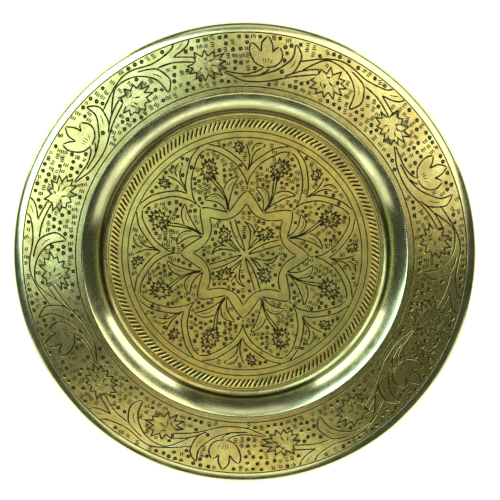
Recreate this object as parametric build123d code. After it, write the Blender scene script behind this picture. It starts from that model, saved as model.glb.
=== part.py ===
"""Round engraved serving tray in brass, spun from one sheet, with its edge rolled over a wire.

The tray has a flat sunken floor, a sloping wall, a broad rim and a round edge. All sizes are in
millimetres. +Z is up, and the origin is the centre of the underside, on the table.
"""

import math
import os

from build123d import *

# Overall sizes
TRAY_DIAMETER = 300.0
FLOOR_DIAMETER = 179.0
WELL_DEPTH = 11.0  # from the floor's upper face up to the rim's highest line, at the shoulder
SHEET_THICKNESS = 1.0

# Bend radii are of the sheet's upper face, and slopes are measured from level.
# The wall is steepest just above the foot and eases off as it climbs. The rim is crowned: it
# falls gently from the shoulder on, and a little faster near the lip.
FOOT_RADIUS = 6.0
WALL_FOOT_SLOPE = 52.0
WALL_TOP_SLOPE = 28.0
SHOULDER_RADIUS = 3.0
RIM_INNER_SLOPE = -2.0
RIM_OUTER_SLOPE = -6.0
LIP_RADIUS = 14.0
LIP_TURN = 18.0

# Rolled edge
WIRE_DIAMETER = 4.0
WIRE_CLEARANCE = 0.05
ROLL_TURN = 280.0

# Engraved circles, cut on the lathe before the pattern is chased by hand
CIRCLE_WIDTH = 0.5
CIRCLE_DEPTH = 0.15
FLOOR_CIRCLE_INSETS = (9.4, 13.3)  # in from the edge of the flat floor
SHOULDER_CIRCLE_INSET = 3.35  # out from the shoulder, on the rim
LIP_CIRCLE_INSET = 0.6  # in from the lip, on the rim

TRAY_RADIUS = TRAY_DIAMETER / 2
FLOOR_RADIUS = FLOOR_DIAMETER / 2
WIRE_RADIUS = WIRE_DIAMETER / 2
ROLL_RADIUS = WIRE_RADIUS + WIRE_CLEARANCE + SHEET_THICKNESS
LIP_HEADING = RIM_OUTER_SLOPE - LIP_TURN


def sine(angle):
    return math.sin(math.radians(angle))


def cosine(angle):
    return math.cos(math.radians(angle))


def wall_radius():
    """Radius of the wall's curve, which with its two bends gives the well its depth."""
    foot_rise = FOOT_RADIUS * (1 - cosine(WALL_FOOT_SLOPE))
    shoulder_rise = SHOULDER_RADIUS * (1 - cosine(WALL_TOP_SLOPE))
    wall_rise = WELL_DEPTH - foot_rise - shoulder_rise
    return wall_rise / (cosine(WALL_TOP_SLOPE) - cosine(WALL_FOOT_SLOPE))


def shoulder_end_radius():
    """Distance from the tray's axis to where the shoulder bend meets the rim."""
    foot = FOOT_RADIUS * sine(WALL_FOOT_SLOPE)
    wall = wall_radius() * (sine(WALL_FOOT_SLOPE) - sine(WALL_TOP_SLOPE))
    shoulder = SHOULDER_RADIUS * (sine(WALL_TOP_SLOPE) - sine(RIM_INNER_SLOPE))
    return FLOOR_RADIUS + foot + wall + shoulder


def roll_centre_radius():
    """Distance from the tray's axis to the wire's centre."""
    return TRAY_RADIUS - ROLL_RADIUS


def lip_start_radius():
    """Distance from the tray's axis to where the rim starts to bend over."""
    lip = LIP_RADIUS * (sine(RIM_OUTER_SLOPE) - sine(LIP_HEADING))
    return roll_centre_radius() - ROLL_RADIUS * sine(LIP_HEADING) - lip


def crown_radius():
    """Radius of the rim's curve, which takes it from its inner slope to its outer slope."""
    run = lip_start_radius() - shoulder_end_radius()
    return run / (sine(RIM_INNER_SLOPE) - sine(RIM_OUTER_SLOPE))


def rim_height(radius):
    """Height of the rim's upper face at a distance from the tray's axis."""
    shoulder_end = WELL_DEPTH - SHOULDER_RADIUS * (1 - cosine(RIM_INNER_SLOPE))
    run = radius - shoulder_end_radius()
    slope = math.degrees(math.asin(sine(RIM_INNER_SLOPE) - run / crown_radius()))
    fall = crown_radius() * (cosine(RIM_INNER_SLOPE) - cosine(slope))
    return SHEET_THICKNESS + shoulder_end - fall


def roll_centre_height():
    """Height of the wire's centre above the table."""
    drop = LIP_RADIUS * (cosine(RIM_OUTER_SLOPE) - cosine(LIP_HEADING))
    return rim_height(lip_start_radius()) - drop - ROLL_RADIUS * cosine(LIP_HEADING)


def sheet_face(start_height, below):
    """Edges of one face of the sheet in section, from the tray's axis to the rolled end.

    below is the depth under the upper face: 0 for that face and the thickness for the lower one.
    A bend whose centre lies above the sheet is wider on the lower face, and the others tighter.
    """
    floor = Line((0, start_height), (FLOOR_RADIUS, start_height))
    foot = JernArc(floor @ 1, floor % 1, FOOT_RADIUS + below, WALL_FOOT_SLOPE)
    wall_turn = WALL_TOP_SLOPE - WALL_FOOT_SLOPE
    wall = JernArc(foot @ 1, foot % 1, wall_radius() - below, wall_turn)
    shoulder_turn = RIM_INNER_SLOPE - WALL_TOP_SLOPE
    shoulder = JernArc(wall @ 1, wall % 1, SHOULDER_RADIUS - below, shoulder_turn)
    rim_turn = RIM_OUTER_SLOPE - RIM_INNER_SLOPE
    rim = JernArc(shoulder @ 1, shoulder % 1, crown_radius() - below, rim_turn)
    lip = JernArc(rim @ 1, rim % 1, LIP_RADIUS - below, -LIP_TURN)
    roll = JernArc(lip @ 1, lip % 1, ROLL_RADIUS - below, -ROLL_TURN)
    return [floor, foot, wall, shoulder, rim, lip, roll]


def circle_cutter(radius, height):
    """Solid ring with a V section that engraves one circle in an upper face."""
    half = CIRCLE_WIDTH / 2
    section = Polyline(
        (radius - half, height),
        (radius, height - CIRCLE_DEPTH),
        (radius + half, height),
        (radius, height + CIRCLE_DEPTH),
        close=True,
    )
    return revolve(Plane.XZ * make_face(section), Axis.Z)


def tray_sheet():
    """The spun sheet with its rolled edge and the engraved circles."""
    upper = sheet_face(SHEET_THICKNESS, 0)
    lower = sheet_face(0, SHEET_THICKNESS)
    axis_end = Line((0, 0), (0, SHEET_THICKNESS))
    rolled_end = Line(upper[-1] @ 1, lower[-1] @ 1)
    section = make_face([*upper, *lower, axis_end, rolled_end])
    sheet = revolve(Plane.XZ * section, Axis.Z)
    for inset in FLOOR_CIRCLE_INSETS:
        sheet -= circle_cutter(FLOOR_RADIUS - inset, SHEET_THICKNESS)
    shoulder_circle = shoulder_end_radius() + SHOULDER_CIRCLE_INSET
    lip_circle = lip_start_radius() - LIP_CIRCLE_INSET
    for radius in (shoulder_circle, lip_circle):
        sheet -= circle_cutter(radius, rim_height(radius))
    return sheet


def edge_wire():
    """The iron wire that the edge is rolled over."""
    wire = Torus(roll_centre_radius(), WIRE_RADIUS)
    return Pos(0, 0, roll_centre_height()) * wire


PARTS = {
    "tray_sheet": tray_sheet,
    "edge_wire": edge_wire,
}

os.makedirs("parts", exist_ok=True)
for name, make in PARTS.items():
    export_step(make(), f"parts/{name}.step")
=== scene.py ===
"""Looks of a round engraved brass tray: one spun sheet with an edge rolled over an iron wire.

Shapes are worked out in millimetres, in section or in plan, and put into the meshes in metres.
+Z is up, the origin is the centre of the underside, and the tray stands on the floor.
"""

import bmesh
import bpy
import numpy as np
from mathutils import Matrix, Vector
from mathutils.geometry import delaunay_2d_cdt


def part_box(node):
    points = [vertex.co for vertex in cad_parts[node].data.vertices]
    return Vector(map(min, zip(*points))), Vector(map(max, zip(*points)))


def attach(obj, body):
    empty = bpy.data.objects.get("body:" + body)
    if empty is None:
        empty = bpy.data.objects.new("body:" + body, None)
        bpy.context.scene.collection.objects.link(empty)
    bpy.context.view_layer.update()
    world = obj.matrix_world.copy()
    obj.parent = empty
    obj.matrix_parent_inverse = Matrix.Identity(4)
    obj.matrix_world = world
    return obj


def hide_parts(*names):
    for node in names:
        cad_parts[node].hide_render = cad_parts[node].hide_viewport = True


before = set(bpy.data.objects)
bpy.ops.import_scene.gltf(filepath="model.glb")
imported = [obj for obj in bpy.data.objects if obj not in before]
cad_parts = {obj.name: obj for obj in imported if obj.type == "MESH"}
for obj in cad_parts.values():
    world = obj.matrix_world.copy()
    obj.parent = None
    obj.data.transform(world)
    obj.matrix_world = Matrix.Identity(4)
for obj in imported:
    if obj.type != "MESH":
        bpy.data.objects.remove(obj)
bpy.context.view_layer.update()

# ------------------------------------------------------------------ the sheet in section
# The tray is one disc of 1 mm brass, spun over a former: a flat floor, a wall that is steepest
# just above the foot, a broad rim with a slight crown, and an edge rolled down and under.

MM = 0.001
TRAY_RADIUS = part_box("tray_sheet")[1].x / MM
THICKNESS = 1.0
FLOOR_RADIUS = 89.5
WALL_RADIUS = 31.213  # bend of the wall, which lifts the rim's highest line 11 mm over the floor
RIM_SLOPES = (-2.0, -6.0)  # at the shoulder and at the lip
ROLL_RADIUS = 3.05
LIP_START = TRAY_RADIUS - 6.04  # where the rim starts to turn down


def round_bend(start, heading, radius, turn, steps):
    """Section line round a bend, which starts at (distance from the axis, height) with a heading.

    The heading h turns evenly, and the point moves on by the radius times the change in sin h
    outwards and the change in -cos h upwards, with the sign of the turn.
    """
    side = np.sign(turn)
    angles = np.radians(np.linspace(heading, heading + turn, steps + 1))
    out = start[0] + side * radius * (np.sin(angles) - np.sin(angles[0]))
    up = start[1] + side * radius * (np.cos(angles[0]) - np.cos(angles))
    return np.column_stack([out, up]), angles


def upper_face(start, bends):
    """Section line of the upper face through a row of (heading, radius, turn, steps) bends.

    It gives the points and their headings, each bend starting where the last one ended.
    """
    points, headings = [np.array([start])], [np.radians([bends[0][0]])]
    for heading, radius, turn, steps in bends:
        bend, angles = round_bend(points[-1][-1], heading, radius, turn, steps)
        points.append(bend[1:])
        headings.append(angles[1:])
    return np.vstack(points), np.concatenate(headings)


def lower_face(points, headings):
    """The sheet's lower face: one thickness down from the upper face, square to its heading."""
    return points + THICKNESS * np.column_stack([np.sin(headings), -np.cos(headings)])


WALL_BENDS = [(0.0, 6.0, 52.0, 8), (52.0, WALL_RADIUS, -24.0, 10), (28.0, 3.0, -30.0, 7)]
wall_line, wall_headings = upper_face((FLOOR_RADIUS, THICKNESS), WALL_BENDS)
RIM_START, RIM_HEIGHT = wall_line[-1]
inner_sine, outer_sine = np.sin(np.radians(RIM_SLOPES))
CROWN_RADIUS = (LIP_START - RIM_START) / (inner_sine - outer_sine)


def rim_height(radius):
    """Height of the crowned rim at a distance from the axis. The slope's sine falls evenly with
    the distance, and the height falls with the cosine, times the crown's radius."""
    slope_sine = inner_sine - (np.asarray(radius) - RIM_START) / CROWN_RADIUS
    return RIM_HEIGHT - CROWN_RADIUS * (np.sqrt(1 - inner_sine**2) - np.sqrt(1 - slope_sine**2))


EDGE_BENDS = [(-6.0, 14.0, -18.0, 7), (-24.0, ROLL_RADIUS, -280.0, 14)]
edge_line, edge_headings = upper_face((LIP_START, rim_height(LIP_START)), EDGE_BENDS)


def upper_height(radius):
    """Height of the upper face at a distance from the tray's axis, on the floor or the rim."""
    return np.where(radius < FLOOR_RADIUS, THICKNESS, rim_height(np.maximum(radius, RIM_START)))


# ------------------------------------------------------------------ the engraver's cuts
# All the ornament is cut by hand with a few gravers and punches: V grooves that swell from
# nothing at their ends, ring punches and short dashes. It is drawn here in plan, in millimetres.

CUT_HALF_WIDTH = 0.58
TOOTH = 0.47  # half width of the strokes round a toothed leaf
FOLD = 0.3  # and of the line inside a crescent leaf
VEIN = 0.28  # and of the finest veins
CUT_SLOPE = 0.5  # steepness of a cut's two sides
TAPER = 1.2  # length over which a cut swells from nothing
hand = np.random.default_rng(1971)
cuts = []


def smooth_line(points, step=1.5):
    """Catmull-Rom curve through the points: between two of them it is the cubic whose slope at
    each is half the step from the point before to the point after."""
    points = np.asarray(points, float)
    before = np.vstack([2 * points[0] - points[1], points[:-2], points[-2][None]])[: len(points) - 1]
    after = np.vstack([points[2:], 2 * points[-1] - points[-2]])
    start, end = points[:-1], points[1:]
    pieces = []
    for p0, p1, p2, p3 in zip(before, start, end, after):
        count = max(2, int(np.ceil(np.linalg.norm(p2 - p1) / step)))
        t = np.linspace(0, 1, count, endpoint=False)[:, None]
        cubic = 2 * p1 + (p2 - p0) * t + (2 * p0 - 5 * p1 + 4 * p2 - p3) * t**2
        pieces.append(0.5 * (cubic + (3 * p1 - p0 - 3 * p2 + p3) * t**3))
    return np.vstack([*pieces, points[-1]])


def cut(line, half_width=CUT_HALF_WIDTH, closed=False, slope=CUT_SLOPE, dark=0.92):
    """Engraves one line. Its half width swells over the taper length from each free end, and its
    sides have a slope. Dark is the share of its width that holds oxide, and may pass the edge."""
    line = np.asarray(line, float)
    if closed:
        halves = np.full(len(line), half_width)
    else:
        run = np.concatenate([[0], np.cumsum(np.linalg.norm(np.diff(line, axis=0), axis=1))])
        near_end = np.minimum(run, run[-1] - run)
        halves = half_width * np.clip(0.15 + near_end / TAPER, 0, 1)
        halves *= hand.uniform(0.85, 1.15, len(line))
        halves[[0, -1]] = 0
    cuts.append((line, halves, closed, slope, dark * half_width))


def curve(points, place, **options):
    """Cuts a smooth curve through points of a motif, placed on the tray by place()."""
    cut(place(smooth_line(points)), **options)


def zigzag(points, place, half_width=TOOTH):
    """Cuts a separate straight stroke from each point to the next, as round a toothed leaf. A
    stroke has blunt ends that run a little past the points."""
    corners = place(np.asarray(points, float))
    for start, end in zip(corners[:-1], corners[1:]):
        blunt_stroke(start, end, half_width)


def blunt_stroke(start, end, half_width):
    """A short straight cut that has its full width to within a third of a millimetre of its ends."""
    length = np.linalg.norm(end - start)
    near_end = min(0.3, 0.3 * length) / length
    share = np.array([-0.4 * near_end, near_end, 1 - near_end, 1 + 0.4 * near_end])[:, None]
    widths = half_width * hand.uniform(0.85, 1.15) * np.array([0, 1, 1, 0])
    cuts.append((start + share * (end - start), widths, False, CUT_SLOPE, half_width))


def ring_line(radius, count):
    """Points of a circle about the tray's axis."""
    turn = np.linspace(0, 2 * np.pi, count, endpoint=False)
    return radius * np.column_stack([np.cos(turn), np.sin(turn)])


def wander(points):
    """The small drift of a hand: a sum of slow waves in x and y, about a fifth of a millimetre."""
    x, y = points[:, 0], points[:, 1]
    drift_x = np.sin(0.21 * y + 0.07 * x) + np.sin(0.09 * x - 0.16 * y + 2)
    drift_y = np.sin(0.19 * x - 0.08 * y + 1) + np.sin(0.12 * y + 0.14 * x + 4)
    return points + 0.14 * np.column_stack([drift_x, drift_y])


# ------------------------------------------------------------------ engraved circles
# Cut on the lathe before the handwork: two on the floor round the petals, the two borders of
# the rim's scroll, and a finer one where the floor ends.

TURNS = 288
FLOOR_CIRCLES = (FLOOR_RADIUS - 13.3, FLOOR_RADIUS - 9.4)
ROPE_OUTER = FLOOR_RADIUS - 0.8
SCROLL_INNER = RIM_START + 3.35
SCROLL_OUTER = LIP_START - 0.6
CIRCLE = 0.42
FINE_CIRCLE = 0.26
for circle_radius in (*FLOOR_CIRCLES, SCROLL_INNER, SCROLL_OUTER):
    cut(ring_line(circle_radius, TURNS), half_width=CIRCLE, closed=True)
cut(ring_line(ROPE_OUTER, TURNS), half_width=FINE_CIRCLE, closed=True)

# ------------------------------------------------------------------ rope border
# A ring of slanted, slightly S-shaped strokes round the floor, which reads as a twisted rope.

ROPE_STROKES = 176
ROPE_START = ROPE_OUTER - 0.3
ROPE_INNER = FLOOR_RADIUS - 7.5
ROPE_LEAN = 2.1  # degrees round the tray from a stroke's outer end to its inner end
ROPE_BEND = 0.09  # how much the lean swings to and fro, as a share of itself
ROPE_HALF_WIDTH = 1.05
ROPE_SLOPE = 0.4
stroke_share = np.linspace(0, 1, 6)
for rope_turn in np.arange(ROPE_STROKES) * 2 * np.pi / ROPE_STROKES:
    lean = np.radians(ROPE_LEAN) * (stroke_share - ROPE_BEND * np.sin(2 * np.pi * stroke_share))
    turn = rope_turn + lean + hand.normal(0, 0.0012)
    reach = ROPE_START + (ROPE_INNER - ROPE_START) * stroke_share
    stroke = reach[:, None] * np.column_stack([np.cos(turn), np.sin(turn)])
    cut(stroke, half_width=ROPE_HALF_WIDTH, slope=ROPE_SLOPE, dark=0.64)

# ------------------------------------------------------------------ star
# An eight-pointed star fills the middle of the floor: a plain band between two chased lines,
# with four blades, toothed leaves and crescent leaves inside it.

POINTS = 8
STAR_TURN = 88.2  # where the first point of the star stands, in degrees from +X
STEP = 360 / POINTS


def turned_by(degrees):
    """Gives the function that puts a motif drawn with its axis along +Y at that direction."""
    angle = np.radians(degrees - 90)
    turn = np.array([[np.cos(angle), np.sin(angle)], [-np.sin(angle), np.cos(angle)]])
    return lambda points: wander(np.asarray(points, float) @ turn)


def mirrored(points):
    """The same line on the other side of the motif's axis."""
    return np.asarray(points, float) * (-1, 1)


def polar(radius, degrees):
    """Point of a motif at a distance from the tray's axis and an angle from the motif's axis."""
    angle = np.radians(degrees)
    return (-radius * np.sin(angle), radius * np.cos(angle))


STAR_POINT, STAR_VALLEY = 42.0, 29.4
INNER_POINT, INNER_DIP = 33.7, 25.6
star_side = [polar(STAR_POINT, 0), polar(39.1, 5.0), polar(35.4, 10.2), polar(STAR_VALLEY, STEP / 2)]
scallop = [polar(INNER_POINT, 0), polar(29.3, 5.4), polar(26.4, 13.6), polar(INNER_DIP, STEP / 2)]
scallop += [polar(26.4, STEP - 13.6), polar(29.3, STEP - 5.4), polar(INNER_POINT, STEP)]

BLADE_TURN = 20.2  # of the first blade from the first point, in degrees
SPRIG_TURN = 90.0  # where the first sprig inside the star stands, in degrees from +X
TOOTH_SKEW = 0.12  # how far a toothed leaf's ring leans, in radians


def toothed_ring(x, y, turn, teeth, tip, notch, shape=1.15):
    """Points round a toothed leaf or flower head: tips and notches by turns at even angles, on
    circles about (x, y) that are stretched by shape along the direction turn, in degrees."""
    steps = np.arange(2 * teeth + 1) * np.pi / teeth
    reach = np.where(np.arange(2 * teeth + 1) % 2, notch, tip) * hand.uniform(0.88, 1.12, len(steps))
    reach[-1] = reach[0]
    ring = np.column_stack([np.sin(steps + TOOTH_SKEW), shape * np.cos(steps - TOOTH_SKEW)])
    ring *= reach[:, None]
    angle = np.radians(turn)
    spin = np.array([[np.cos(angle), np.sin(angle)], [-np.sin(angle), np.cos(angle)]])
    return ring @ spin + (x, y)


def chased_leaf(x, y, turn, teeth, size, place):
    """A toothed leaf or flower head: an outline, a second row of teeth inside it and a few short
    veins in the spaces between the rows."""
    zigzag(toothed_ring(x, y, turn, teeth, size, 0.6 * size), place)
    zigzag(toothed_ring(x, y, turn + 14, teeth * 2 // 3, 0.5 * size, 0.24 * size)[:-3], place)
    outer = toothed_ring(x, y, turn, teeth, 0.78 * size, 0.5)
    inner = toothed_ring(x, y, turn, teeth, 0.52 * size, 0.5)
    for vein in range(0, 2 * teeth, 4):
        zigzag([inner[vein], outer[vein]], place, half_width=VEIN)


keep_clear = []


def clear(points, place, radius):
    """Marks a way through a motif where no punch mark goes, such as inside a leaf or a band."""
    points = np.asarray(points, float)
    share = np.linspace(0, len(points) - 1, 1 + 5 * (len(points) - 1))
    way = np.column_stack([np.interp(share, np.arange(len(points)), column) for column in points.T])
    placed = place(way)
    keep_clear.append(np.column_stack([placed, np.full(len(placed), radius)]))


for point in range(POINTS):
    place = turned_by(STAR_TURN + STEP * point)
    curve(star_side, place)
    curve(mirrored(star_side), place)
    curve(scallop, place)
    band = [polar(37.5, 0), polar(33.5, 8), polar(28.8, 17), polar(27.4, 22.5)]
    clear(smooth_line(band), place, 2.2)
    clear(smooth_line(mirrored(band)), place, 2.2)

for quarter in range(4):
    place = turned_by(STAR_TURN + BLADE_TURN + 2 * STEP * quarter)
    curve([(0.5, 1.6), (0.9, 9.0), (1.0, 16.5), (1.5, 25.0)], place)
    curve([(0.5, 1.6), (-1.6, 7.5), (-2.6, 16.0), (-2.0, 25.0)], place)
    curve([(0.9, 15.0), (-0.6, 12.2), (-1.6, 13.4), (-2.3, 13.6)], place, half_width=VEIN)
    place = turned_by(SPRIG_TURN + 2 * STEP * quarter)
    curve([(-0.5, 21.9), (2.3, 18.9), (3.6, 13.1), (2.0, 5.0)], place)
    curve([(-0.5, 21.9), (3.9, 19.4), (6.1, 15.2), (5.2, 12.0)], place)
    curve([(1.9, 18.8), (3.9, 16.4), (4.7, 13.8)], place, half_width=VEIN)
    curve([(1.4, 2.6), (4.6, 7.4), (8.6, 11.2)], place)
    curve([(5.2, 12.0), (7.2, 15.4), (9.9, 18.7)], place)
    curve([(2.6, 3.4), (6.6, 7.2), (10.8, 9.6)], place)
    chased_leaf(13.4, 12.9, -46, 10, 4.9, place)
    clear([(13.4, 12.9)], place, 5.6)

# ------------------------------------------------------------------ petals
# Eight pointed arches stand round the star, each with a double outline, a stem with a toothed
# flower and two crescent leaves. A smaller sprig fills each gap between their tips.

inner_arch = [(17.2, 41.5), (17.9, 46.3), (17.5, 49.8), (15.8, 56.7), (11.7, 63.3), (5.6, 70.2), (0, 73.0)]
outer_arch = [(20.9, 50.4), (20.3, 55.4), (17.0, 62.0), (11.3, 70.0), (6.2, 73.8), (2.6, 75.9)]
for petal in range(POINTS):
    axis = STAR_TURN + STEP * (petal + 0.5)
    place = turned_by(axis)
    for side in (np.asarray, mirrored):
        curve(side(inner_arch), place)
        curve(side(outer_arch), place)
    curve([(0.2, 30.0), (1.1, 33.6), (1.4, 40.4), (0.5, 47.8), (-1.9, 55.0)], place)
    curve([(-0.4, 30.8), (0.6, 36.8), (0.0, 43.3), (-2.0, 49.6), (-3.2, 54.0)], place)
    curve([(0.0, 30.0), (1.6, 34.4), (5.1, 39.9), (9.6, 45.1), (14.9, 48.9)], place)
    curve([(14.9, 48.9), (9.6, 49.2), (5.0, 47.4), (1.5, 44.1)], place)
    curve([(10.5, 46.9), (6.5, 45.4), (3.9, 41.8)], place, half_width=FOLD)
    curve([(0.0, 37.6), (-2.2, 42.2), (-6.0, 44.4), (-12.3, 43.2)], place)
    curve([(-0.8, 29.8), (-2.3, 34.4), (-5.6, 39.0), (-12.3, 43.2)], place)
    curve([(-2.6, 39.4), (-4.8, 42.4), (-8.3, 43.1)], place, half_width=FOLD)
    chased_leaf(-2.0, 59.8, 8, 13, 6.6, place)
    clear([(-2.2, 59.6), (-2.0, 62.5), (-2.4, 57.0)], place, 6.2)
    clear([(6.0, 44.6), (3.4, 41.5), (9.5, 47.2), (-3.4, 39.4), (-7.0, 42.0)], place, 2.2)

    place = turned_by(axis - STEP / 2)
    curve([(0, STAR_POINT), (0, 45.2)], place)
    curve([(0.2, 54.3), (1.1, 59.2), (1.0, 64.2), (-0.2, 68.8), (-1.6, 72.2)], place)
    curve([(0.6, 54.9), (2.3, 59.6), (2.9, 63.4), (5.0, 67.2), (9.0, 69.8)], place)
    curve([(2.3, 66.6), (3.6, 70.2), (6.0, 72.3), (10.4, 72.6)], place)
    curve([(9.0, 69.8), (11.0, 71.0), (10.4, 72.6)], place)
    curve([(4.4, 69.6), (6.2, 71.2), (8.8, 71.4)], place, half_width=VEIN)
    chased_leaf(-6.2, 69.6, 50, 8, 3.7, place)
    clear([(-6.2, 69.6)], place, 4.6)
    clear([(6.5, 70.2), (3.4, 67.0)], place, 2.4)

# ------------------------------------------------------------------ scroll of the rim
# A wavy stem runs round the rim in six repeats. Each has a tulip, two toothed leaves on squared
# stems, two long crescent leaves and a forked frond that springs from the outer border.

REPEATS = 6
TULIP_TURN = 84.0
SCROLL_WIDTH = SCROLL_OUTER - SCROLL_INNER
MID_RIM = (SCROLL_INNER + SCROLL_OUTER) / 2


def on_rim(first_turn):
    """Gives the function that bends a motif drawn in (degrees along, mm up) round the rim."""

    def place(points):
        along, up = np.asarray(points, float).T
        turn = np.radians(first_turn + along)
        radius = SCROLL_INNER + up
        return wander(radius[:, None] * np.column_stack([np.cos(turn), np.sin(turn)]))

    return place


def rim_curve(points, place, **options):
    """Cuts a smooth curve on the rim. It is smoothed in mm along and up, then put in degrees."""
    scale = np.array([np.radians(1) * MID_RIM, 1])
    cut(place(smooth_line(np.asarray(points) * scale) / scale), **options)


def rim_leaf(along, up, turn, teeth, size, place):
    """A toothed leaf on the rim, open where its stem meets it. Its ring of teeth is worked out in
    mm about its middle, then put in degrees along the rim."""
    ring = toothed_ring(0, 0, turn, teeth, size, 0.66 * size)[1:-1]
    zigzag(ring / (np.radians(1) * MID_RIM, 1) + (along, up), place)


for repeat in range(REPEATS):
    place = on_rim(TULIP_TURN + 360 / REPEATS * repeat)
    # the stem's upper line, from the outer border over its crest to the first crescent leaf
    stem = [(-35.5, SCROLL_WIDTH), (-33.9, 30.6), (-28.6, 27.9), (-21.9, 30.2), (-17.3, 28.1), (-9.8, 20.8)]
    rim_curve(stem, place)
    # its lower line, from the second crescent leaf's tip over the crest and down again
    stem = [(-29.1, 6.3), (-28.0, 15.4), (-26.1, 20.8), (-22.9, 25.4)]
    stem += [(-19.1, 27.1), (-15.9, 25.7), (-10.8, 15.4)]
    rim_curve(stem, place)
    # squared stem of the first leaf, which becomes the outer line of the big scroll
    rim_curve([(-15.4, 19.7), (-11.0, 15.4), (-6.2, 8.7)], place)
    zigzag([(-15.4, 19.7), (-15.9, 16.5)], place)
    stem = [(-15.9, 16.5), (-10.3, 11.5), (-3.7, 5.4), (0.0, 3.6), (3.7, 3.3), (7.5, 4.5), (12.7, 10.0)]
    rim_curve(stem, place)
    # first crescent leaf, whose right side becomes the inner line of the big scroll
    rim_curve([(-7.4, 30.6), (-9.1, 27.0), (-9.9, 22.4), (-8.7, 13.1), (-6.2, 8.6)], place)
    rim_curve([(-7.4, 30.6), (-7.4, 21.3), (-4.2, 12.9), (-1.4, 9.5), (1.9, 7.2), (7.2, 6.5)], place)
    rim_curve([(-8.5, 20.8), (-8.1, 17.7), (-7.2, 14.4)], place, half_width=FOLD)
    # tulip on its stem
    rim_curve([(-1.4, 12.0), (-0.4, 9.8), (1.4, 7.7)], place)
    rim_curve([(0.5, 12.3), (2.3, 9.8), (5.6, 8.1), (9.3, 8.9), (12.4, 10.6)], place)
    rim_curve([(0.0, 12.3), (-2.8, 13.9), (-4.4, 18.0), (-4.5, 22.2), (-3.4, 26.7)], place)
    rim_curve([(-3.4, 26.7), (-2.3, 25.0), (-1.7, 22.4)], place)
    rim_curve([(-1.7, 22.4), (-1.4, 27.5), (-0.1, 33.0)], place)
    rim_curve([(-0.1, 33.0), (1.4, 28.4), (1.5, 21.9)], place)
    rim_curve([(1.5, 21.9), (2.7, 25.5), (4.3, 28.2)], place)
    rim_curve([(4.3, 28.2), (4.8, 23.6), (4.2, 18.6), (2.8, 14.6), (0.0, 12.3)], place)
    for fine_line in ([(-1.3, 15.4), (-2.0, 18.3)], [(-0.5, 15.2), (-0.8, 19.5)],
                      [(0.1, 15.2), (0.2, 19.5)], [(0.7, 15.4), (1.0, 18.8)]):
        rim_curve(fine_line, place, half_width=VEIN)
    # forked frond and the squared stem of the second leaf
    rim_curve([(20.5, SCROLL_WIDTH), (21.2, 31.1), (22.9, 28.3), (25.7, 26.2)], place)
    rim_curve([(22.3, 33.4), (23.1, 31.4), (24.6, 29.5)], place, half_width=FOLD)
    zigzag([(25.7, 26.2), (20.3, 22.5), (20.1, 19.0)], place)
    rim_curve([(20.1, 19.0), (23.8, 21.4), (27.1, 23.3), (31.0, 24.0)], place)
    # second crescent leaf
    rim_curve([(36.4, 27.6), (33.1, 25.7), (30.8, 22.9), (28.9, 14.6), (29.6, 9.5), (30.9, 6.3)], place)
    rim_curve([(33.0, 22.3), (31.6, 19.8), (30.8, 16.5)], place, half_width=FOLD)
    # the two toothed leaves, each with a few short veins
    rim_leaf(-19.3, 13.8, -72, 12, 10.4, place)
    rim_leaf(17.2, 16.0, -54, 13, 10.4, place)
    for vein in ([(-19.4, 17.4), (-18.3, 16.8)], [(-20.9, 13.3), (-19.5, 14.4)],
                 [(-19.0, 10.2), (-18.5, 12.4)], [(-17.9, 10.0), (-17.2, 12.2)],
                 [(15.0, 18.6), (16.4, 18.0)], [(14.6, 14.4), (15.8, 15.4)], [(17.2, 12.4), (17.6, 14.6)],
                 [(19.2, 13.4), (18.8, 15.2)], [(16.8, 20.4), (17.4, 19.0)]):
        zigzag(vein, place)
    # both toothed leaves, the tulip, the stem's band, the crescent leaves and the frond stay plain
    way = [(-19.6, 16.5), (-20.2, 12.5), (-18.6, 9.5), (-17.4, 14.0), (-18.8, 19.6), (-16.0, 12.6)]
    clear(way, place, 4.6)
    way = [(18.2, 19.5), (15.6, 19.0), (16.6, 14.6), (19.4, 15.4), (17.6, 11.4), (14.6, 12.6), (18.2, 22.6)]
    clear(way, place, 4.4)
    way = [(-0.1, 16.0), (-2.4, 18.5), (2.2, 18.5), (-0.1, 21.0), (-0.1, 25.0), (-3.0, 22.5), (3.0, 22.5)]
    clear(way, place, 4.0)
    clear([(-0.1, 28.6), (-3.1, 25.0), (3.6, 25.6)], place, 2.6)
    way = [(-33.0, 27.0), (-29.6, 24.6), (-26.0, 26.2), (-21.0, 28.7)]
    way += [(-16.8, 26.6), (-12.2, 20.4), (-9.6, 15.6)]
    clear(way, place, 2.5)
    clear([(-12.6, 15.5), (-9.0, 11.8), (-8.2, 16.4), (-8.4, 21.6), (-7.9, 26.0), (-6.2, 13.0)], place, 2.4)
    clear([(-3.6, 8.6), (-0.2, 5.6), (3.6, 5.0), (7.4, 5.6), (10.4, 8.2), (3.4, 8.0)], place, 2.4)
    way = [(30.0, 12.0), (29.9, 16.5), (31.2, 21.5), (33.4, 24.6), (22.4, 23.0), (25.6, 24.0), (28.6, 25.0)]
    clear(way, place, 2.4)
    clear([(23.4, 30.6), (25.4, 28.4), (28.0, 26.4)], place, 2.2)

# ------------------------------------------------------------------ ground of punch marks
# What is left between the motifs is filled with ring punches and groups of two or three short
# dashes, set close and kept a little way off the chased lines.

RING_RADIUS = 0.88
RING_HALF_WIDTH = 0.56
RING_SHARE = 0.45  # of all marks, the rest being dashes
DASH_LENGTH = 2.6
DASH_GAP = 1.2
DASH_HALF_WIDTH = 0.36
DASHES_ALONG = 0.75  # share of the dashes that run round the tray
MARK_CLEARANCE = 1.85
FLOOR_SPACING = 3.3
RIM_SPACING = 4.1
ring_turn = np.arange(10) * np.pi / 5
ring_shape = RING_RADIUS * np.column_stack([np.cos(ring_turn), np.sin(ring_turn)])


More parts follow.
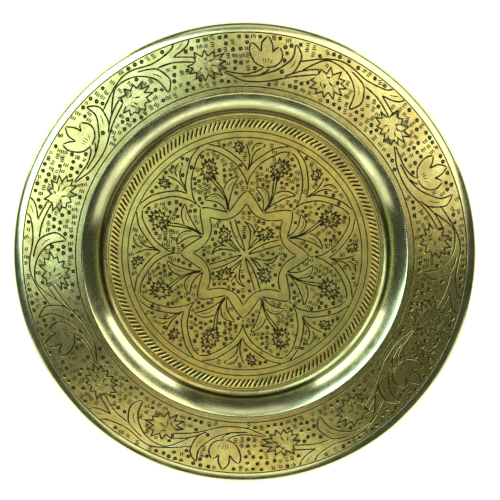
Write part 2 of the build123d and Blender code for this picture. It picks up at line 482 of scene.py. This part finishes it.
def spots(inner, outer, spacing, lines, clearance, keep_away=()):
    """Places between two radii: rows along circles first, then gaps filled at random.

    A spot is kept if it is far enough from every line, from every round place to keep away from
    and from every spot kept before.
    """
    rows = np.arange(inner + spacing / 2, outer, spacing * 0.98)
    candidates = []
    for number, radius in enumerate(rows):
        count = int(2 * np.pi * radius / (spacing * 1.06))
        turn = (np.arange(count) + 0.5 * (number % 2)) * 2 * np.pi / count
        row = np.column_stack([radius * np.cos(turn), radius * np.sin(turn)])
        candidates.append(row + hand.normal(0, 0.1 * spacing, row.shape))
    loose = int(outer**2 - inner**2)
    radius = np.sqrt(hand.uniform(inner**2, outer**2, loose))
    turn = hand.uniform(0, 2 * np.pi, loose)
    candidates = np.vstack([*candidates, np.column_stack([radius * np.cos(turn), radius * np.sin(turn)])])
    free = np.ones(len(candidates), bool)
    for block in np.array_split(lines, max(1, len(lines) // 500)):
        gap = np.linalg.norm(candidates[:, None] - block[None], axis=2)
        free &= gap.min(1) > clearance
    for x, y, guard in keep_away:
        free &= np.hypot(candidates[:, 0] - x, candidates[:, 1] - y) > guard
    kept = np.empty((0, 2))
    for spot in candidates[free]:
        if not len(kept) or np.hypot(*(kept - spot).T).min() > spacing * 0.86:
            kept = np.vstack([kept, spot])
    return kept


def along(line, step=0.8):
    """Points every step or so along a line."""
    run = np.concatenate([[0], np.cumsum(np.linalg.norm(np.diff(line, axis=0), axis=1))])
    share = np.linspace(0, run[-1], int(run[-1] / step) + 2)
    return np.column_stack([np.interp(share, run, column) for column in line.T])


chased = np.vstack([along(line) for line, *_ in cuts])
guards = np.vstack(keep_clear)
floor_spots = spots(3.0, FLOOR_CIRCLES[0] - 1.8, FLOOR_SPACING, chased, MARK_CLEARANCE, guards)
rim_spots = spots(SCROLL_INNER + 1.6, SCROLL_OUTER - 1.4, RIM_SPACING, chased, MARK_CLEARANCE, guards)
mark_places = np.vstack([floor_spots, rim_spots])
for spot in mark_places:
    facing = np.arctan2(spot[1], spot[0])
    if hand.random() < RING_SHARE:
        ring = spot + ring_shape * hand.uniform(0.88, 1.06)
        cut(ring, half_width=RING_HALF_WIDTH, closed=True, dark=1.1)
        continue
    lean = facing + 0.2 + hand.normal(0, 0.2) + np.pi / 2 * (hand.random() < DASHES_ALONG)
    lengthways = np.array([np.cos(lean), np.sin(lean)])
    across = np.array([-lengthways[1], lengthways[0]])
    count = hand.choice([2, 3, 3, 3])
    for number in range(count):
        middle = spot + across * (number - (count - 1) / 2) * DASH_GAP + lengthways * hand.normal(0, 0.12)
        half = lengthways * DASH_LENGTH * hand.uniform(0.42, 0.54)
        blunt_stroke(middle - half, middle + half, DASH_HALF_WIDTH)

# ------------------------------------------------------------------ the engraved sheet
# The cuts' outlines and bottom lines divide the floor and the rim into triangles, and every
# corner sinks by the depth of the deepest cut over it. The wall, edge and underside are turned.

ENGRAVED_FLOOR = FLOOR_RADIUS - 0.3
ENGRAVED_RIM = (RIM_START + 2.6, LIP_START - 0.15)
PLAIN_SPACING = 3.1  # between the corners that divide the metal left plain
PLAIN_CLEARANCE = 1.5


def cut_sides(line, halves, closed):
    """The two lines where a cut meets the surface: off each point by the half width, square to
    the mean of the strokes before and after it and a little further at a corner."""
    before = line - np.roll(line, 1, axis=0)
    after = np.roll(line, -1, axis=0) - line
    if not closed:
        before[0], after[-1] = after[0], before[-1]
    before /= np.linalg.norm(before, axis=1)[:, None]
    after /= np.linalg.norm(after, axis=1)[:, None]
    mean = before + after
    length = np.maximum(np.linalg.norm(mean, axis=1), 0.8)
    sideways = np.column_stack([-mean[:, 1], mean[:, 0]]) / length[:, None]
    reach = (halves * 2 / length)[:, None]
    return line + sideways * reach, line - sideways * reach


def strokes(count, first, closed):
    """Pairs of neighbouring points, numbered from first, which a line of that many joins."""
    pairs = np.column_stack([np.arange(count - 1), np.arange(1, count)])
    if closed:
        pairs = np.vstack([pairs, [count - 1, 0]])
    return pairs + first


corners, joins = [], []
total = 0
for line, halves, closed, *_ in cuts:
    for drawn in (line, *cut_sides(line, halves, closed)):
        corners.append(drawn)
        joins.append(strokes(len(drawn), total, closed))
        total += len(drawn)
for border in (ENGRAVED_FLOOR, *ENGRAVED_RIM):
    corners.append(ring_line(border, TURNS))
    joins.append(strokes(TURNS, total, True))
    total += TURNS

# more corners on the plain metal between the cuts keep the facets there small and even
occupied = np.vstack([chased, mark_places])
for inner, outer in ((0, ENGRAVED_FLOOR), ENGRAVED_RIM):
    corners.append(spots(inner + 1.3, outer - 1.3, PLAIN_SPACING, occupied, PLAIN_CLEARANCE))
plan = [Vector(corner) for corner in np.vstack(corners)]
plan, _, facets, _, _, _ = delaunay_2d_cdt(plan, np.vstack(joins).tolist(), [], 0, 1e-4, False)
plan = np.array([tuple(corner) for corner in plan])
facets = np.array([facet for facet in facets if len(facet) == 3])
middle = np.linalg.norm(plan[facets].mean(1), axis=1)
facets = facets[(middle < ENGRAVED_FLOOR) | (middle > ENGRAVED_RIM[0])]

depth = np.zeros(len(plan))
oxide = np.full(len(plan), -1.0)
for line, halves, closed, slope, dark_half in cuts:
    widest = halves.max()
    low, high = line.min(0) - widest, line.max(0) + widest
    near = np.flatnonzero(((plan > low) & (plan < high)).all(1))
    ends = np.roll(np.arange(len(line)), -1) if closed else np.arange(1, len(line))
    starts = np.arange(len(ends))
    step = line[ends] - line[starts]
    away = plan[near][:, None] - line[starts][None]
    share = np.clip((away * step).sum(2) / (step**2).sum(1), 0, 1)
    distance = np.linalg.norm(away - share[..., None] * step, axis=2)
    half_there = halves[starts] + share * (halves[ends] - halves[starts])
    depth[near] = np.maximum(depth[near], slope * np.maximum(half_there - distance, 0).max(1))
    inside = (dark_half * half_there / widest - distance) / dark_half
    oxide[near] = np.maximum(oxide[near], inside.max(1))

heights = upper_height(np.hypot(*plan.T)) - depth
engraved = np.column_stack([plan, heights])


def turned(line, turns=TURNS):
    """A line in section carried once round the tray's axis: point (i, j) is the line's point i
    at turn j. It gives the points and the faces between neighbouring lines and turns."""
    angle = np.linspace(0, 2 * np.pi, turns, endpoint=False)
    radius, height = line[:, 0][:, None], line[:, 1][:, None]
    points = np.stack([radius * np.cos(angle), radius * np.sin(angle), height + 0 * angle], axis=2)
    number = np.arange(len(line) * turns).reshape(len(line), turns)
    onward = np.roll(number, -1, axis=1)
    faces = np.stack([number[:-1], number[1:], onward[1:], onward[:-1]], axis=2)
    return points.reshape(-1, 3), faces.reshape(-1, 4)


wall_top = [[ENGRAVED_RIM[0], rim_height(ENGRAVED_RIM[0])]]
wall_section = np.vstack([[[ENGRAVED_FLOOR, THICKNESS]], wall_line, wall_top])
lower_edge = lower_face(edge_line, edge_headings)[::-2]
lower_wall = lower_face(wall_line, wall_headings)[::-2]
under_floor = np.column_stack([[60.0, 30.0, 8.0, 0.0], np.zeros(4)])
edge_start = [[ENGRAVED_RIM[1], rim_height(ENGRAVED_RIM[1])]]
edge_section = np.vstack([edge_start, edge_line, lower_edge, lower_wall, under_floor])

pieces = [(engraved, facets, np.zeros(len(facets), bool))]
for section in (wall_section, edge_section):
    points, faces = turned(section)
    pieces.append((points, faces, np.ones(len(faces), bool)))
first, all_points, all_faces, smooth = 0, [], [], []
for points, faces, is_smooth in pieces:
    all_points.append(points * MM)
    all_faces += (faces + first).tolist()
    smooth += is_smooth.tolist()
    first += len(points)
mesh = bpy.data.meshes.new("tray")
mesh.from_pydata(np.vstack(all_points).tolist(), [], all_faces)
mesh.polygons.foreach_set("use_smooth", smooth)
oxide_share = np.full(len(mesh.vertices), -1.0)
oxide_share[: len(plan)] = oxide
mesh.attributes.new("oxide", "FLOAT", "POINT").data.foreach_set("value", oxide_share)
shell = bmesh.new()
shell.from_mesh(mesh)
bmesh.ops.remove_doubles(shell, verts=shell.verts, dist=2e-7)
shell.to_mesh(mesh)
shell.free()
tray = bpy.data.objects.new("tray", mesh)
bpy.context.scene.collection.objects.link(tray)
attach(tray, "root")
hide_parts("tray_sheet")

# ------------------------------------------------------------------ brass
# Yellow brass, buffed on a turning lathe: fine scratches run round the axis, so its highlights
# fan out. The engraved floor and rim have gone a warm brown. The wall and edge are rubbed smoother,
# and their colour is a painted highlight: a pale green-white like the washed-out tone of their bright
# reflections.


def socket(node, name, value):
    """Sets one of a shader node's inputs."""
    node.inputs[name].default_value = value
    return node


class Recipe:
    """A material's node tree, with short ways to add and join its nodes."""

    def __init__(self, name):
        self.material = bpy.data.materials.new(name)
        self.material.use_nodes = True
        self.tree = self.material.node_tree
        self.surface = self.tree.nodes["Principled BSDF"]
        self.place = self.add("ShaderNodeTexCoord").outputs["Object"]

    def add(self, kind, **settings):
        """Adds a node and sets its options."""
        node = self.tree.nodes.new(kind)
        for key, value in settings.items():
            setattr(node, key, value)
        return node

    def join(self, source, node, name):
        """Joins an output to a node's input."""
        self.tree.links.new(source, node.inputs[name])

    def sum(self, operation, *terms):
        """A maths node of the terms, each an output or a number."""
        node = self.add("ShaderNodeMath", operation=operation)
        for number, term in enumerate(terms):
            if isinstance(term, (int, float)):
                node.inputs[number].default_value = term
            else:
                self.join(term, node, number)
        return node.outputs[0]

    def noise(self, vector, scale, detail=3.0, rough=0.55):
        """A cloudy pattern from 0 to 1 over a vector."""
        node = self.add("ShaderNodeTexNoise")
        node.inputs["Scale"].default_value = scale
        node.inputs["Detail"].default_value = detail
        node.inputs["Roughness"].default_value = rough
        self.join(vector, node, "Vector")
        return node.outputs["Fac"]

    def ramp(self, value, low, high, start=0.0, end=1.0):
        """The value rescaled from the range low-high to the range start-end, and held there."""
        node = self.add("ShaderNodeMapRange")
        for name, number in (("From Min", low), ("From Max", high), ("To Min", start), ("To Max", end)):
            node.inputs[name].default_value = number
        self.join(value, node, "Value")
        return node.outputs[0]

    def blend(self, share, under, over):
        """A colour mixed from two, each an output or a red, green and blue."""
        node = self.add("ShaderNodeMix", data_type="RGBA")
        self.join(share, node, 0)
        for number, colour in ((6, under), (7, over)):
            if isinstance(colour, tuple):
                node.inputs[number].default_value = (*colour, 1)
            else:
                self.tree.links.new(colour, node.inputs[number])
        return node.outputs[2]


brass = Recipe("engraved brass")
split = brass.add("ShaderNodeSeparateXYZ")
brass.join(brass.place, split, "Vector")
across, along_y, up = split.outputs
across_squared = brass.sum("MULTIPLY", across, across)
along_squared = brass.sum("MULTIPLY", along_y, along_y)
reach = brass.sum("SQRT", brass.sum("ADD", across_squared, along_squared))

# zones by distance from the axis, in metres: 1 on the wall and on the rolled edge, 0 on the
# engraved parts. The floor, and the painted shade at the wall's foot, have shares of their own.
WALL_FADES_IN = (0.0922, 0.0938)
WALL_FADES_OUT = (0.1064, 0.1054)
EDGE_FADES_IN = (0.1430, 0.1445)
FLOOR_FADES_OUT = (0.0890, 0.0900)
FOOT_SHADE_FADES_IN = (0.0908, 0.0934)
FOOT_SHADE_FADES_OUT = (0.0953, 0.0945)
wall_share = brass.sum("MULTIPLY", brass.ramp(reach, *WALL_FADES_IN), brass.ramp(reach, *WALL_FADES_OUT))
edge_share = brass.ramp(reach, *EDGE_FADES_IN)
polished_and_sheen = brass.sum("MAXIMUM", wall_share, edge_share)
floor_share = brass.ramp(reach, *FLOOR_FADES_OUT, 1.0, 0.0)

# fine scratches: noise that only changes across the brushing, with a little change round it
round_x = brass.sum("DIVIDE", across, reach)
round_y = brass.sum("DIVIDE", along_y, reach)
lathe = brass.add("ShaderNodeCombineXYZ")
brass.join(brass.sum("MULTIPLY", reach, 26.0), lathe, "X")
brass.join(brass.sum("MULTIPLY", round_x, 0.35), lathe, "Y")
brass.join(brass.sum("MULTIPLY", round_y, 0.35), lathe, "Z")
scratches = brass.noise(lathe.outputs[0], 60.0, 4.0, 0.7)

stains = brass.ramp(brass.noise(brass.place, 55.0, 6.0, 0.66), 0.42, 0.70)
clouds = brass.noise(brass.place, 14.0, 3.0, 0.5)
grain = brass.noise(brass.place, 900.0, 2.0, 0.6)

YELLOW = (0.68, 0.67, 0.28)
DEEP = (1.0, 0.78, 0.18)
OLIVE = (0.56, 0.51, 0.15)
PALE_SHEEN = (0.84, 0.88, 0.48)
BROWN = (0.40, 0.25, 0.07)
FOOT_SHADE = (0.06, 0.045, 0.012)
OXIDE = (0.028, 0.02, 0.006)
tone = brass.blend(brass.ramp(clouds, 0.35, 0.7, 0.0, 0.5), YELLOW, DEEP)
tone = brass.blend(brass.sum("MULTIPLY", floor_share, 0.8), tone, DEEP)
patches = brass.noise(brass.place, 90.0, 3.0, 0.6)
tone = brass.blend(brass.ramp(patches, 0.48, 0.62, 0.0, 0.75), tone, OLIVE)
stain_share = brass.sum("MULTIPLY", brass.sum("MULTIPLY", stains, 0.62), brass.sum("SUBTRACT", 1.0, polished_and_sheen))
tone = brass.blend(stain_share, tone, BROWN)
tone = brass.blend(brass.ramp(grain, 0.45, 0.75, 0.0, 0.4), tone, BROWN)
# painted highlight: the wall and the rolled edge are mixed towards a pale green-white, the washed-out tone of
# their bright reflections, on metal that is also rubbed smoother there
tone = brass.blend(brass.sum("MULTIPLY", polished_and_sheen, 0.85), tone, PALE_SHEEN)
tone = brass.blend(brass.ramp(scratches, 0.35, 0.75, 0.0, 0.2), tone, DEEP)
# painted shade: a ring at the foot of the wall is darkened in colour, standing in for the dark reflection
# that falls there
foot_shade = brass.sum("MULTIPLY", brass.ramp(reach, *FOOT_SHADE_FADES_IN), brass.ramp(reach, *FOOT_SHADE_FADES_OUT))
tone = brass.blend(brass.sum("MULTIPLY", foot_shade, 0.88), tone, FOOT_SHADE)
groove = brass.add("ShaderNodeAttribute", attribute_name="oxide").outputs["Fac"]
filled = brass.ramp(groove, 0.0, 0.2)
tone = brass.blend(filled, tone, OXIDE)
brass.join(tone, brass.surface, "Base Color")
brass.join(brass.ramp(filled, 0.0, 1.0, 1.0, 0.0), brass.surface, "Metallic")
socket(brass.surface, "Specular IOR Level", 0.15)
stain_dullness = brass.ramp(stains, 0.0, 1.0, 0.0, 0.08)
rough = brass.sum("ADD", brass.ramp(scratches, 0.3, 0.75, 0.2, 0.29), stain_dullness)
rough = brass.sum("SUBTRACT", rough, brass.sum("MULTIPLY", polished_and_sheen, 0.06))
rough = brass.sum("ADD", rough, brass.sum("MULTIPLY", floor_share, 0.09))
rough = brass.sum("MAXIMUM", rough, brass.sum("MULTIPLY", filled, 0.7))
brass.join(rough, brass.surface, "Roughness")
socket(brass.surface, "Anisotropic", 0.6)
radial = brass.add("ShaderNodeCombineXYZ")
brass.join(round_x, radial, "X")
brass.join(round_y, radial, "Y")
brass.join(radial.outputs[0], brass.surface, "Tangent")
bump = brass.add("ShaderNodeBump")
brass.join(brass.ramp(polished_and_sheen, 0.0, 1.0, 1.0, 0.12), bump, "Strength")
socket(bump, "Distance", 0.000012)
brass.join(brass.sum("ADD", scratches, brass.sum("MULTIPLY", grain, 0.4)), bump, "Height")
waves = brass.add("ShaderNodeBump")
brass.join(brass.ramp(polished_and_sheen, 0.0, 1.0, 1.0, 0.25), waves, "Strength")
socket(waves, "Distance", 0.0002)
brass.join(brass.noise(brass.place, 30.0, 1.0, 0.4), waves, "Height")
brass.join(waves.outputs[0], bump, "Normal")
brass.join(bump.outputs[0], brass.surface, "Normal")
mesh.materials.append(brass.material)

# ------------------------------------------------------------------ edge wire
# A ring of soft iron wire, drawn 4 mm thick, lies inside the rolled edge and can't be seen. It is
# dull and dark from the forge, with specks of rust.

iron = Recipe("edge wire iron")
rust = iron.ramp(iron.noise(iron.place, 260.0, 4.0, 0.6), 0.52, 0.66)
iron.join(iron.blend(rust, (0.09, 0.085, 0.08), (0.20, 0.075, 0.03)), iron.surface, "Base Color")
iron.join(iron.ramp(rust, 0.0, 1.0, 0.45, 0.85), iron.surface, "Roughness")
iron.join(iron.ramp(rust, 0.0, 1.0, 1.0, 0.1), iron.surface, "Metallic")
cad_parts["edge_wire"].data.materials.clear()
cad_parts["edge_wire"].data.materials.append(iron.material)

# ------------------------------------------------------------------ studio
# A white floor that glows, nine flat soft lights all round the tray, the coolest at the left,
# and a camera almost straight above.

floor_mesh = bpy.data.meshes.new("floor")
floor_mesh.from_pydata([(-3, -3, 0), (3, -3, 0), (3, 3, 0), (-3, 3, 0)], [], [(0, 1, 2, 3)])
floor = bpy.data.objects.new("floor", floor_mesh)
bpy.context.scene.collection.objects.link(floor)
paper = Recipe("white paper")
fibre = paper.noise(paper.place, 400.0, 2.0, 0.5)
paper.join(paper.blend(fibre, (0.33, 0.33, 0.33), (0.36, 0.36, 0.36)), paper.surface, "Base Color")
socket(paper.surface, "Roughness", 0.9)
socket(paper.surface, "Emission Color", (1.0, 1.0, 1.0, 1.0))
socket(paper.surface, "Emission Strength", 1.0)
floor_mesh.materials.append(paper.material)


def soft_light(name, azimuth, elevation, distance, size, power, colour):
    """A flat soft light that faces the tray from a direction, in degrees from +X and above the
    floor. Its first size is level, and its axes are built from that direction, so it has no roll."""
    turn, lift = np.radians(azimuth), np.radians(elevation)
    facing = Vector((np.cos(lift) * np.cos(turn), np.cos(lift) * np.sin(turn), np.sin(lift)))
    level = Vector((-np.sin(turn), np.cos(turn), 0))
    lamp = bpy.data.lights.new(name, "AREA")
    lamp.shape = "RECTANGLE"
    lamp.size, lamp.size_y = size
    lamp.energy = power
    lamp.color = colour
    light = bpy.data.objects.new(name, lamp)
    axes = Matrix((level, facing.cross(level), facing)).transposed().to_4x4()
    light.matrix_world = Matrix.Translation(facing * distance) @ axes
    bpy.context.scene.collection.objects.link(light)


soft_light("right high light", 40, 60, 1.3, (0.85, 0.8), 4.3, (1.0, 0.97, 0.84))
soft_light("left high light", 150, 60, 1.3, (1.0, 0.8), 8.2, (0.64, 0.86, 0.98))
soft_light("right low light", 38, 11, 1.3, (0.95, 0.4), 2.8, (0.97, 1.0, 1.0))
soft_light("left low light", 143, 11, 1.3, (0.98, 0.4), 3.3, (0.86, 0.98, 1.0))
soft_light("near low light", 270, 8, 1.4, (3.4, 0.45), 6.6, (0.95, 1.0, 1.0))
soft_light("near left light", 324, 14, 1.3, (0.65, 0.5), 0.95, (0.97, 1.0, 0.95))
soft_light("near right light", 217, 14, 1.3, (0.45, 0.5), 0.7, (0.97, 1.0, 0.95))
soft_light("far middle light", 90, 42, 1.3, (0.6, 0.3), 0.5, (1.0, 0.98, 0.9))
soft_light("near high light", 262, 58, 1.3, (0.7, 0.45), 1.25, (1.0, 0.97, 0.74))
world = bpy.data.worlds.new("studio")
world.use_nodes = True
sky = world.node_tree.nodes["Background"]
socket(sky, "Color", (0.9, 1, 0.75, 1))
socket(sky, "Strength", 0.04)
bpy.context.scene.world = world

AIM = Vector((0.00315, 0.0043, 0.012))
VIEW_TURN, VIEW_TILT, VIEW_DISTANCE = np.radians(96.0), np.radians(6.5), 0.994
level_reach = np.sin(VIEW_TILT)
toward = Vector((level_reach * np.cos(VIEW_TURN), level_reach * np.sin(VIEW_TURN), np.cos(VIEW_TILT)))
top = (Vector((0, 1, 0)) - toward * toward.y).normalized()
lens = bpy.data.cameras.new("camera")
lens.lens = 111.2
lens.sensor_width = 36
camera = bpy.data.objects.new("camera", lens)
view_axes = Matrix((top.cross(toward), top, toward)).transposed().to_4x4()
camera.matrix_world = Matrix.Translation(AIM + toward * VIEW_DISTANCE) @ view_axes
bpy.context.scene.collection.objects.link(camera)
bpy.context.scene.camera = camera
bpy.context.scene.view_settings.view_transform = "Standard"
